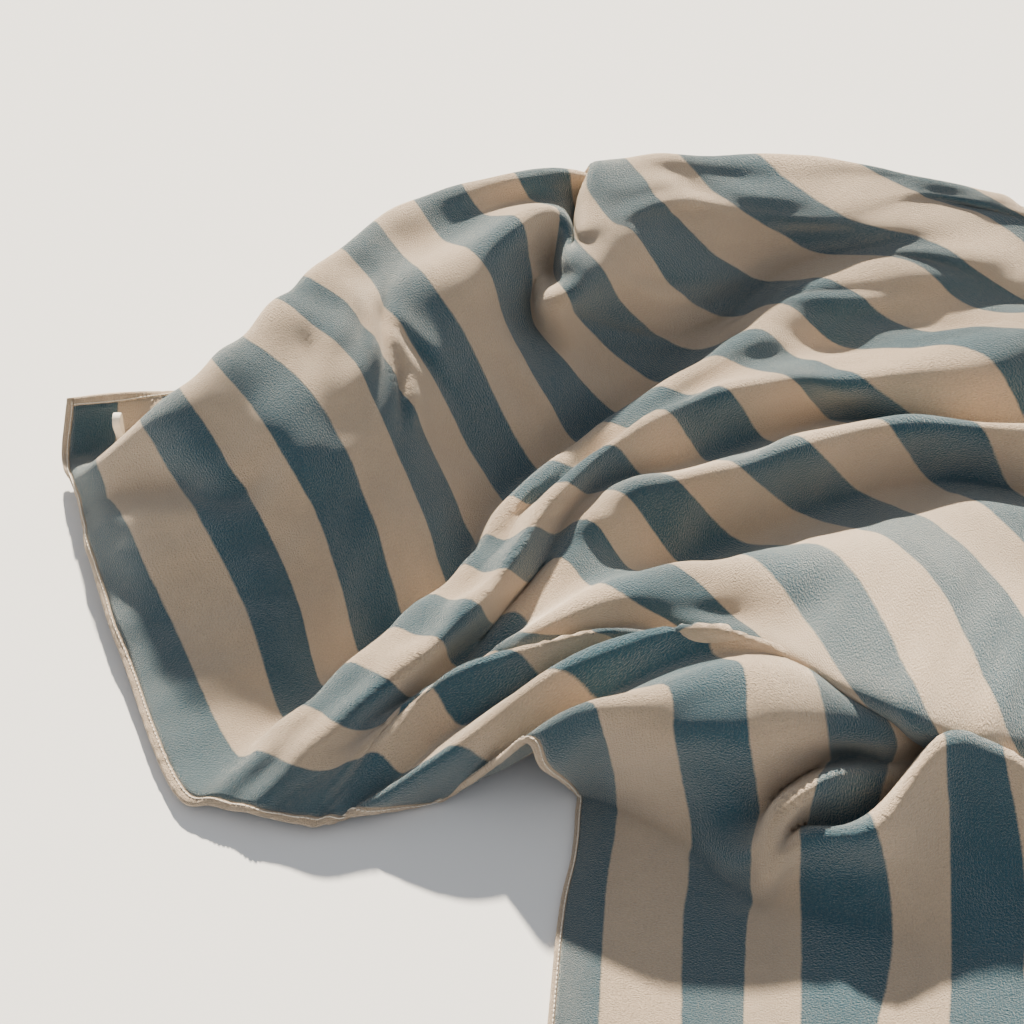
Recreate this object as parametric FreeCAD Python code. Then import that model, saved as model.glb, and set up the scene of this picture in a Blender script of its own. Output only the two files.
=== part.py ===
import FreeCAD, Part
import math
import os

from FreeCAD import Vector

# A hooded baby towel, left lying in loose folds on a flat surface, in millimetres.
# The cloth is described the way it was cut: u runs across the stripes from the left side hem,
# v runs along them from the far end hem, and the table of folds below says where each fold line lies.

# The cut cloth
WIDTH = 800.0            # across the stripes, hem to hem
LENGTH = 900.0           # along the stripes, hem to hem
HEM_WIDTH = 6.25         # turned hem on all four sides
CLOTH_THICKNESS = 3.0    # pile to pile
HEM_THICKNESS = 4.0
REST_HEIGHT = 2.2        # the middle of the cloth where it lies on the surface
SETTLE = 1.5             # how softly a fold comes down onto the surface

# The hood, sewn over the near right corner
HOOD_LEG = 250.0         # length of each sewn side, from the corner
HOOD_TIP = 0.1           # share of the leg at the corner where the two layers are stitched flat
HOOD_RISE = 58.0         # how far the open front edge is puffed up
HOOD_THICKNESS = 2.6
HOOD_GAP = 0.6           # between the hood's underside and the towel along the sewn sides
BINDING_WIDTH = 8.0
BINDING_THICKNESS = 4.0

# The hanging loop: a folded tape that stands on its seam near the far left corner
LOOP_ROOT = (-245.0, 38.0, 21.0)
LOOP_LENGTH = 27.0
LOOP_GAP = 8.0           # across the inside of the bend
TAPE_WIDTH = 5.0
TAPE_THICKNESS = 1.2

# The blank care label, sewn into the right side hem
LABEL_V = 370.0          # where along the side hem its middle is
LABEL_WIDTH = 26.0
LABEL_LENGTH = 38.0
LABEL_THICKNESS = 0.8
LABEL_CLEARANCE = 0.6    # between the label's root and the hem

# How finely the cloth is cut into small flat facets
STEPS_ACROSS = 32
STEPS_ALONG = 72
STEPS_IN_HEM = 1
PROFILE_SAMPLES = 600

# Each fold line of the laid towel, from the far end to the near end, as points (u, x, y, z).
FOLDS = {
    "far_edge": [(0, -280, 60, 40), (45, -247, 65, 40), (85, -218, 72, 34), (155, -172, 95, 10),
        (305, -112, 172, 8), (455, 0, 262, 6), (605, 92, 280, 5), (700, 125, 294, 4),
        (800, 155, 303, 3)],
    "back_fall": [(0, -284, 33, 12), (45, -250, 38, 14), (85, -222, 45, 34), (155, -176, 65, 55),
        (305, -110, 150, 55), (455, 0, 238, 50), (605, 106, 262, 45), (680, 195, 280, 24),
        (800, 245, 294, 3)],
    "ridge": [(0, -272, 6, 18), (45, -250, -2, 50), (80, -222, 5, 75), (155, -178, 33, 98),
        (230, -137, 80, 107), (305, -106, 124, 105), (380, -64, 178, 98), (455, 1, 211, 90),
        (492, 35, 220, 88), (512, 48, 226, 78), (527, 48, 219, 97), (567, 75, 226, 92),
        (605, 110, 235, 85), (645, 168, 256, 65), (680, 238, 262, 50), (720, 320, 250, 35),
        (800, 340, 276, 4)],
    "dip": [(0, -266, -12, 17), (80, -216, -6, 72), (155, -155, 5, 90), (230, -115, 55, 100),
        (305, -90, 108, 97), (380, -45, 150, 90), (455, 12, 193, 84), (492, 38, 200, 70),
        (525, 46, 195, 93), (605, 122, 228, 78), (680, 255, 256, 44), (730, 345, 245, 30),
        (800, 368, 268, 4)],
    "second_ridge": [(0, -258, -35, 16), (80, -207, -18, 68), (155, -134, -24, 76), (230, -97, 40, 94),
        (305, -81, 88, 99), (380, -26, 125, 99), (455, 29, 172, 95), (490, 42, 168, 72),
        (515, 44, 165, 90), (567, 88, 198, 88), (605, 130, 220, 70), (680, 270, 250, 38),
        (740, 368, 240, 26), (800, 390, 262, 4)],
    "upper_slope": [(0, -240, -88, 14), (80, -193, -42, 58), (155, -118, -45, 55), (230, -78, 8, 72),
        (305, -53, 51, 76), (380, -5, 92, 72), (430, 18, 115, 45), (455, 30, 130, 50),
        (485, 32, 135, 84), (530, 70, 162, 82), (605, 145, 217, 58), (680, 285, 245, 32),
        (740, 388, 232, 22), (800, 412, 252, 4)],
    "lower_slope": [(0, -221, -137, 12), (80, -156, -100, 30), (155, -103, -80, 30),
        (230, -58, -25, 38), (305, -30, 25, 36), (380, 18, 68, 36), (455, 50, 115, 42),
        (530, 105, 150, 48), (605, 172, 220, 36), (680, 292, 250, 26), (740, 405, 225, 18),
        (800, 434, 242, 4)],
    "valley_1": [(0, -183, -216, 6), (81, -130, -163, 8), (156, -88, -118, 8), (231, -37, -70, 8),
        (306, -7, 3, 8), (381, 42, 49, 8), (456, 97, 102, 8), (531, 145, 164, 8), (606, 205, 220, 12),
        (645, 246, 241, 18), (681, 300, 248, 22), (740, 422, 212, 12), (800, 458, 230, 4)],
    "low_crest": [(0, -168, -219, 8), (81, -116, -170, 32), (156, -68, -118, 36), (231, -28, -72, 35),
        (306, 1, -19, 35), (381, 58, 42, 35), (456, 130, 100, 37), (493, 162, 126, 32),
        (531, 180, 152, 32), (568, 215, 168, 35), (606, 264, 190, 35), (681, 360, 205, 25),
        (745, 435, 195, 12), (800, 484, 212, 4)],
    "groove": [(0, -158, -222, 8), (81, -106, -176, 34), (156, -56, -126, 42), (231, -18, -78, 36),
        (306, 12, -20, 29), (381, 75, 38, 34), (456, 150, 95, 30), (531, 215, 130, 15),
        (606, 310, 160, 18), (681, 390, 175, 12), (800, 505, 190, 5)],
    "crest_1": [(0, -146, -225, 10), (81, -98, -185, 38), (156, -41, -136, 50), (231, -5, -85, 50),
        (306, 31, -16, 45), (381, 95, 43, 45), (456, 176, 75, 42), (493, 218, 77, 41),
        (531, 300, 98, 40), (606, 370, 130, 35), (800, 530, 165, 20)],
    "valley_2": [(0, -136, -227, 8), (81, -84, -186, 32), (156, -33, -134, 22), (231, 10, -72, 22),
        (306, 48, -8, 25), (381, 120, 30, 14), (456, 207, 68, 8), (531, 335, 60, 6), (606, 405, 95, 6),
        (800, 555, 140, 5)],
    "crest_2": [(0, -128, -229, 8), (81, -76, -184, 32), (156, -26, -140, 26), (231, 28, -60, 28),
        (306, 67, -19, 40), (381, 135, -5, 50), (456, 229, 27, 52), (531, 345, 30, 45),
        (606, 430, 62, 32), (800, 580, 112, 18)],
    "valley_3": [(0, -122, -230, 7), (81, -68, -180, 34), (156, -20, -145, 28), (231, 42, -75, 25),
        (306, 103, -49, 6), (381, 180, -8, 6), (456, 264, 18, 6), (531, 365, 5, 6), (606, 450, 30, 6),
        (800, 605, 85, 5)],
    "crest_4": [(0, -116, -231, 7), (81, -62, -176, 38), (156, -10, -142, 45), (193, 5, -130, 48),
        (231, 57, -101, 50), (306, 137, -82, 55), (343, 185, -70, 48), (381, 225, -60, 42),
        (456, 290, -30, 32), (531, 390, -35, 28), (606, 480, -12, 22), (800, 630, 55, 8)],
    "lap": [(0, -110, -232, 6), (81, -54, -170, 38), (156, 20, -136, 34), (193, 45, -122, 36),
        (231, 85, -115, 44), (306, 162, -118, 54), (381, 250, -110, 48), (456, 325, -80, 26),
        (606, 500, -50, 6), (800, 645, 32, 5)],
    "roll_b": [(0, -104, -231, 7), (44, -73, -197, 27), (81, -46, -165, 45), (118, 0, -146, 52),
        (156, 46, -130, 50), (193, 78, -125, 50), (231, 117, -134, 55), (268, 150, -152, 58),
        (306, 190, -182, 60), (381, 270, -205, 52), (456, 350, -135, 24), (606, 520, -88, 8),
        (800, 660, 8, 5)],
    "tuck_b": [(0, -97, -229, 6), (44, -60, -205, 18), (81, -28, -180, 28), (156, 85, -140, 26),
        (231, 165, -165, 14), (306, 235, -195, 12), (381, 300, -215, 10), (456, 365, -160, 5),
        (606, 530, -110, 4), (800, 672, -15, 4)],
    "roll_c": [(0, -88, -226, 9), (44, -30, -199, 38), (81, 27, -161, 54), (118, 106, -135, 60),
        (156, 155, -149, 60), (193, 201, -188, 50), (231, 228, -220, 56), (306, 280, -240, 45),
        (381, 330, -245, 26), (456, 380, -188, 12), (606, 541, -132, 4), (800, 684, -40, 4)],
    "tuck_c": [(0, -45, -215, 3), (44, -5, -200, 20), (81, 50, -172, 40), (118, 112, -152, 50),
        (156, 160, -160, 50), (193, 206, -196, 42), (231, 232, -232, 44), (306, 285, -252, 35),
        (381, 336, -255, 18), (456, 390, -205, 8), (606, 548, -150, 4), (800, 692, -56, 4)],
    "flap_ridge": [(0, 8, -204, 48), (44, 44, -193, 66), (81, 84, -184, 72), (118, 125, -173, 72),
        (156, 166, -170, 66), (193, 212, -205, 40), (231, 236, -245, 34), (306, 290, -265, 25),
        (381, 340, -265, 12), (456, 400, -222, 6), (606, 555, -168, 4), (800, 700, -72, 4)],
    "flap_face": [(0, 26, -210, 22), (44, 50, -212, 34), (81, 92, -212, 42), (118, 130, -212, 44),
        (156, 168, -200, 50), (193, 205, -228, 28), (231, 232, -262, 22), (306, 295, -285, 12),
        (381, 348, -280, 6), (456, 412, -240, 4), (606, 563, -188, 4), (800, 712, -92, 4)],
    "flap_foot": [(0, 38, -209, 4), (44, 57, -217, 4), (81, 100, -234, 6), (118, 128, -245, 10),
        (156, 160, -245, 22), (193, 198, -262, 18), (231, 229, -285, 14), (306, 300, -305, 5),
        (381, 355, -295, 4), (456, 420, -256, 4), (606, 570, -208, 4), (800, 725, -115, 4)],
    "floor_lap": [(0, 31, -264, 0), (81, 94, -275, 0), (156, 152, -285, 10), (231, 228, -315, 4),
        (306, 305, -330, 2), (381, 362, -312, 0), (456, 430, -270, 0), (606, 578, -228, 0),
        (800, 742, -140, 0)],
    "near_edge": [(0, 20, -360, 0), (81, 90, -365, 0), (156, 150, -365, 0), (231, 225, -365, 0),
        (306, 305, -355, 0), (381, 370, -330, 0), (456, 440, -290, 0), (606, 588, -250, 0),
        (800, 765, -180, 0)],
}

def tangents(knots, rows):
    """Slopes at each knot: the neighbouring chord slopes, weighted by how near each one is."""
    chords = [[(b - a) / (knots[i + 1] - knots[i]) for a, b in zip(rows[i], rows[i + 1])]
              for i in range(len(rows) - 1)]
    slopes = [chords[0]]
    for i in range(1, len(rows) - 1):
        before = knots[i] - knots[i - 1]
        after = knots[i + 1] - knots[i]
        share = after / (before + after)
        slopes.append([share * p + (1 - share) * q for p, q in zip(chords[i - 1], chords[i])])
    slopes.append(chords[-1])
    return slopes


def smooth(knots, rows, places):
    """Values at places, on the cubic curve that passes through rows at the knots."""
    slopes = tangents(knots, rows)
    values = []
    i = 0
    for place in places:
        while i < len(knots) - 2 and place > knots[i + 1]:
            i += 1
        step = knots[i + 1] - knots[i]
        s = (place - knots[i]) / step
        start, leave = 2 * s**3 - 3 * s**2 + 1, (s**3 - 2 * s**2 + s) * step
        end, arrive = 3 * s**2 - 2 * s**3, (s**3 - s**2) * step
        values.append([start * a + leave * ma + end * b + arrive * mb
                       for a, ma, b, mb in zip(rows[i], slopes[i], rows[i + 1], slopes[i + 1])])
    return values


def spread(low, high, steps):
    """steps + 1 evenly spaced values from low to high."""
    return [low + (high - low) * i / steps for i in range(steps + 1)]


def stripe_line(u):
    """The line of cloth at one u, as LENGTH shares and points, evenly followed from far to near."""
    points = [smooth([p[0] for p in fold], [p[1:] for p in fold], [u])[0] for fold in FOLDS.values()]
    knots = [0.0]
    for a, b in zip(points, points[1:]):
        knots.append(knots[-1] + math.sqrt(math.dist(a, b)))
    fine = smooth(knots, points, spread(0, knots[-1], PROFILE_SAMPLES))
    run = [0.0]
    for a, b in zip(fine, fine[1:]):
        run.append(run[-1] + math.dist(a, b))
    return [LENGTH * r / run[-1] for r in run], fine


def laid_height(z):
    """The height of the middle of the cloth, which never drops below where it lies on the surface."""
    return REST_HEIGHT + SETTLE * math.log1p(math.exp((z - REST_HEIGHT) / SETTLE))


def cloth_points(us, vs):
    """The middle of the cloth at each u and v, as rows of points, one row for each u."""
    rows = []
    for u in us:
        run, fine = stripe_line(u)
        row = []
        i = 0
        for v in vs:
            while i < len(run) - 2 and v > run[i + 1]:
                i += 1
            share = min(1.0, (v - run[i]) / (run[i + 1] - run[i]))
            x, y, z = [a + share * (b - a) for a, b in zip(fine[i], fine[i + 1])]
            row.append(Vector(x, y, laid_height(z)))
        rows.append(row)
    return rows


def upward_normals(rows):
    """Unit normals of a grid of points, from the differences between its neighbours."""
    last_row, last_column = len(rows) - 1, len(rows[0]) - 1
    normals = []
    for i in range(last_row + 1):
        line = []
        for j in range(last_column + 1):
            across = rows[min(i + 1, last_row)][j] - rows[max(i - 1, 0)][j]
            along = rows[i][min(j + 1, last_column)] - rows[i][max(j - 1, 0)]
            line.append(along.cross(across).normalize())
        normals.append(line)
    return normals


def sheet_solid(rows, thickness):
    """A closed solid of cloth: a skin half a thickness either side of the grid, and the cut edges between."""
    normals = upward_normals(rows)
    top, bottom = [[[p + n * (side * thickness) for p, n in zip(line, ns)] for line, ns in zip(rows, normals)]
                   for side in (0.5, -0.5)]
    quads = []
    for i in range(len(rows) - 1):
        for j in range(len(rows[0]) - 1):
            quads.append((top[i][j], top[i][j + 1], top[i + 1][j + 1], top[i + 1][j]))
            quads.append((bottom[i][j], bottom[i + 1][j], bottom[i + 1][j + 1], bottom[i][j + 1]))
    rim = [(i, 0) for i in range(len(rows))] + [(len(rows) - 1, j) for j in range(1, len(rows[0]))]
    rim += [(i, len(rows[0]) - 1) for i in range(len(rows) - 2, -1, -1)]
    rim += [(0, j) for j in range(len(rows[0]) - 2, -1, -1)]
    for (i, j), (k, m) in zip(rim, rim[1:]):
        quads.append((top[i][j], top[k][m], bottom[k][m], bottom[i][j]))
    faces = []
    for a, b, c, d in quads:
        faces.append(Part.Face(Part.makePolygon([a, b, c, a])))
        faces.append(Part.Face(Part.makePolygon([a, c, d, a])))
    shell = Part.makeShell(faces)
    shell.sewShape()
    solid = Part.makeSolid(shell)
    if solid.Volume < 0:
        solid.reverse()
    return solid


def towel_panel():
    """The striped towel itself, inside its hems."""
    us = spread(HEM_WIDTH, WIDTH - HEM_WIDTH, STEPS_ACROSS)
    vs = spread(HEM_WIDTH, LENGTH - HEM_WIDTH, STEPS_ALONG)
    return sheet_solid(cloth_points(us, vs), CLOTH_THICKNESS)


def side_hem(start):
    """A turned hem along a whole side, start being its lower u."""
    us = spread(start, start + HEM_WIDTH, STEPS_IN_HEM)
    return sheet_solid(cloth_points(us, spread(0, LENGTH, STEPS_ALONG)), HEM_THICKNESS)


def end_hem(start):
    """A turned hem along an end, between the side hems, start being its lower v."""
    us = spread(HEM_WIDTH, WIDTH - HEM_WIDTH, STEPS_ACROSS)
    return sheet_solid(cloth_points(us, spread(start, start + HEM_WIDTH, STEPS_IN_HEM)), HEM_THICKNESS)


def hood_points(reaches, shares):
    """The hood's middle surface. A point at a reach from the corner, split between the two sewn sides,
    stands over the same point of the towel, and a dome lifts it most in the middle of the open front."""
    rows = []
    base = HOOD_GAP + 0.5 * (HEM_THICKNESS + HOOD_THICKNESS)
    for share in shares:
        row = []
        for reach in reaches:
            under = cloth_points([WIDTH - reach * share], [LENGTH - reach * (1 - share)])[0][0]
            swell = math.sin(math.pi * share) ** 0.9 * (reach / HOOD_LEG) ** 1.3
            row.append(under + Vector(0, 0, base + HOOD_RISE * swell))
        rows.append(row)
    return rows


def hood_panel():
    """The three-cornered hood, sewn down on two sides and open along the third."""
    reaches = spread(HOOD_LEG, HOOD_LEG * HOOD_TIP, 10)
    return sheet_solid(hood_points(reaches, spread(0.0, 1.0, 16)), HOOD_THICKNESS)


def hood_front_binding():
    """The folded tape along the hood's open front edge."""
    reaches = spread(HOOD_LEG + BINDING_WIDTH, HOOD_LEG, STEPS_IN_HEM)
    return sheet_solid(hood_points(reaches, spread(0.0, 1.0, 16)), BINDING_THICKNESS)


def hanging_loop():
    """A folded tape: two legs that meet at the seam and open into a round bend at the top."""
    x, y, z = LOOP_ROOT
    radius = LOOP_GAP / 2
    centre = Vector(0, 0, LOOP_LENGTH - radius - TAPE_THICKNESS)

    def teardrop(r, root):
        """A closed outline from a point at the root to an arc of radius r, whose legs are tangent."""
        reach = centre.z - root
        lean = math.asin(r / reach)
        side = Vector(0, r * math.cos(lean), centre.z - r * math.sin(lean))
        other = Vector(0, -side.y, side.z)
        foot = Vector(0, 0, root)
        top = Vector(0, 0, centre.z + r)
        return Part.Wire([Part.LineSegment(foot, side).toShape(), Part.Arc(side, top, other).toShape(),
                          Part.LineSegment(other, foot).toShape()])

    outer = Part.Face(teardrop(radius + TAPE_THICKNESS, 0.0))
    inner = Part.Face(teardrop(radius, 4.0 * TAPE_THICKNESS))
    tape = outer.cut(inner).extrude(Vector(TAPE_WIDTH, 0, 0))
    tape.translate(Vector(x - TAPE_WIDTH / 2, y, z))
    return tape.Solids[0]


def care_label():
    """A blank label that lies beside the right side hem, its root along the seam."""
    start, end = cloth_points([WIDTH], [LABEL_V - LABEL_WIDTH / 2, LABEL_V + LABEL_WIDTH / 2])[0]
    seam = Vector(end.x - start.x, end.y - start.y, 0).normalize()
    out = Vector(-seam.y, seam.x, 0)
    root = (start + end) * 0.5 + out * LABEL_CLEARANCE - seam * (LABEL_WIDTH / 2)
    root.z = LABEL_THICKNESS
    corners = [root, root + out * LABEL_LENGTH, root + out * LABEL_LENGTH + seam * LABEL_WIDTH,
               root + seam * LABEL_WIDTH]
    label = Part.Face(Part.makePolygon(corners + [root])).extrude(Vector(0, 0, LABEL_THICKNESS))
    return label


def main():
    os.makedirs("parts", exist_ok=True)
    nodes = {
        "towel_panel": towel_panel(),
        "side_hem_left": side_hem(0.0),
        "side_hem_right": side_hem(WIDTH - HEM_WIDTH),
        "end_hem_far": end_hem(0.0),
        "end_hem_near": end_hem(LENGTH - HEM_WIDTH),
        "hood_panel": hood_panel(),
        "hood_front_binding": hood_front_binding(),
        "hanging_loop": hanging_loop(),
        "care_label": care_label(),
    }
    whole = Part.makeCompound(list(nodes.values())).optimalBoundingBox()
    to_origin = Vector(-(whole.XMin + whole.XMax) / 2, -(whole.YMin + whole.YMax) / 2, -whole.ZMin)
    for name, solid in nodes.items():
        solid.translate(to_origin)
        print(name, "valid", solid.isValid(), "volume cm3", round(solid.Volume / 1000, 1), "box", solid.optimalBoundingBox())
        solid.exportStep(f"parts/{name}.step")


main()
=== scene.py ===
# %% [markdown]
# # A hooded baby towel, lying in loose folds
#
# A bath towel for a baby is one sheet of terry cloth with a three-cornered hood sewn over a corner.
# This one is striped blue and cream, and it has been dropped in folds on a flat surface.
# The lesson builds it as cloth is built: first the lie of the cloth as one smooth surface with the
# cut cloth's own coordinates, then the panel, hems, hood, tapes and stitches from that surface.

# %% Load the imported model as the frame
import math

import bpy
import numpy as np
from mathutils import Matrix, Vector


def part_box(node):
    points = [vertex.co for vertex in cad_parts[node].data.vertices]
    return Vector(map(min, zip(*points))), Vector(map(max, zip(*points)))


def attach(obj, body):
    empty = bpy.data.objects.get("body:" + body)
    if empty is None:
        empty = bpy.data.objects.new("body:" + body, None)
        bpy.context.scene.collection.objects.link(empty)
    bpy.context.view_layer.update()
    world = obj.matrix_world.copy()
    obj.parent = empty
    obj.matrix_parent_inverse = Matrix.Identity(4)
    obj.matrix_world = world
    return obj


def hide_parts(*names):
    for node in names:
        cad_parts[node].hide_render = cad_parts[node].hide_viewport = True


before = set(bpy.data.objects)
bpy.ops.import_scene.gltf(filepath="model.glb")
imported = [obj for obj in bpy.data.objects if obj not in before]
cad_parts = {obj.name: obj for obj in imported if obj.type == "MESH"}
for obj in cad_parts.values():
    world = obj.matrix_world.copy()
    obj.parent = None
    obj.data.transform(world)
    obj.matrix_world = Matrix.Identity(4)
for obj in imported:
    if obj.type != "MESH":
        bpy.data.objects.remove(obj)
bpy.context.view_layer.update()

# %% [markdown]
# ## The two frames of reference
#
# The table of folds further down is written in its own layout, in millimetres, with the middle of
# the view as its origin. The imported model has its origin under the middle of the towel. The hanging
# loop is a small rigid piece whose root is known in both, so it ties the two together exactly.

# %% Tie the layout to the frame
MM = 0.001
LOOP_ROOT = np.array((-245.0, 38.0, 21.0))
LOOP_LENGTH = 27.0

loop_low, loop_high = (np.array(corner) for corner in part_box("hanging_loop"))
loop_middle = LOOP_ROOT + (0, 0, LOOP_LENGTH / 2)
layout_to_frame = (loop_low + loop_high) / 2 - loop_middle * MM
print("layout origin in the frame, metres:", layout_to_frame.round(4))


def placed(points):
    """Layout millimetres to frame metres: scale by a thousandth, then shift."""
    return np.asarray(points, float) * MM + layout_to_frame


# %% [markdown]
# ## The camera
#
# The towel is looked down on at about fifty degrees with a moderately long lens, which keeps the
# stripes near and far almost the same width. The camera is aimed at the layout's origin.

# %% Camera
CAMERA_PITCH = math.radians(50)
CAMERA_DISTANCE = 1300 * MM
LENS = 73.1
SENSOR = 36.0


def add_camera(target, pitch, distance):
    """A camera that looks along +Y and down by pitch, distance away from its target."""
    data = bpy.data.cameras.new("camera")
    data.lens, data.sensor_width = LENS, SENSOR
    camera = bpy.data.objects.new("camera", data)
    bpy.context.scene.collection.objects.link(camera)
    camera.location = target + distance * np.array((0, -math.cos(pitch), math.sin(pitch)))
    camera.rotation_euler = (math.pi / 2 - pitch, 0, 0)
    bpy.context.scene.camera = camera
    return camera


camera = add_camera(layout_to_frame, CAMERA_PITCH, CAMERA_DISTANCE)
print("camera at", [round(c, 3) for c in camera.location])

# %% [markdown]
# ## The cloth's own coordinates
#
# Every piece of a towel is placed by where it is on the cut cloth: u runs across the stripes from
# the left side hem, and v runs along them from the far end hem. A fold is a line that crosses the
# cloth, so the lie of the whole towel is a short list of fold lines, each one a few points
# (u, x, y, z) in layout millimetres: crests, valleys, and the tucks hidden under a roll.
# A cloth simulation would make folds too, but not these ones.

# %% The cut cloth and its fold lines
WIDTH, LENGTH = 800.0, 900.0
HEM_WIDTH = 6.25
STRIPE = 37.5
CLOTH_THICKNESS, HEM_THICKNESS = 3.0, 4.0
REST_HEIGHT, SETTLE = 2.2, 1.5

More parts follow.
